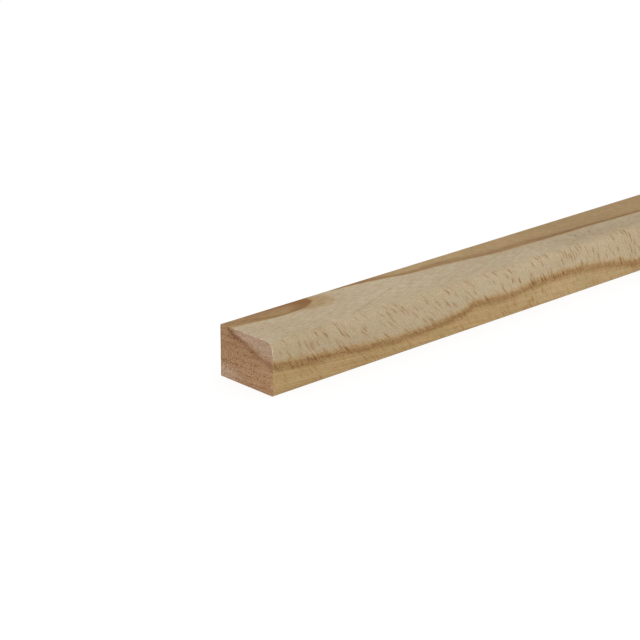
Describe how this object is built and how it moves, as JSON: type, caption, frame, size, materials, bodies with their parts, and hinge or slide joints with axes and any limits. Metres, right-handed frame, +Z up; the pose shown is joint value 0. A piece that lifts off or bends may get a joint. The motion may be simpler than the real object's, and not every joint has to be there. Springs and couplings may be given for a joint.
{
  "type": "rectangular wood strip",
  "caption": "Straight planed wood strip of rectangular section with a rounded-over front edge and square-cut ends, used as trim, edging, beading or light framing stock.",
  "frame": {"origin": "centre of the bottom face, the wide face that the strip lies on", "axes": "+X along the length, +Z up out of the bottom face, -Y out of the front face below the rounded edge"},
  "size_m": [1, 0.021, 0.015],
  "materials": {
    "wood": "planed bare hardwood, pale sapwood with a tan heartwood streak and ray flecks, sawn ends"
  },
  "bodies": {
    "root": {"wood_strip": "wood"}
  },
  "joints": []
}
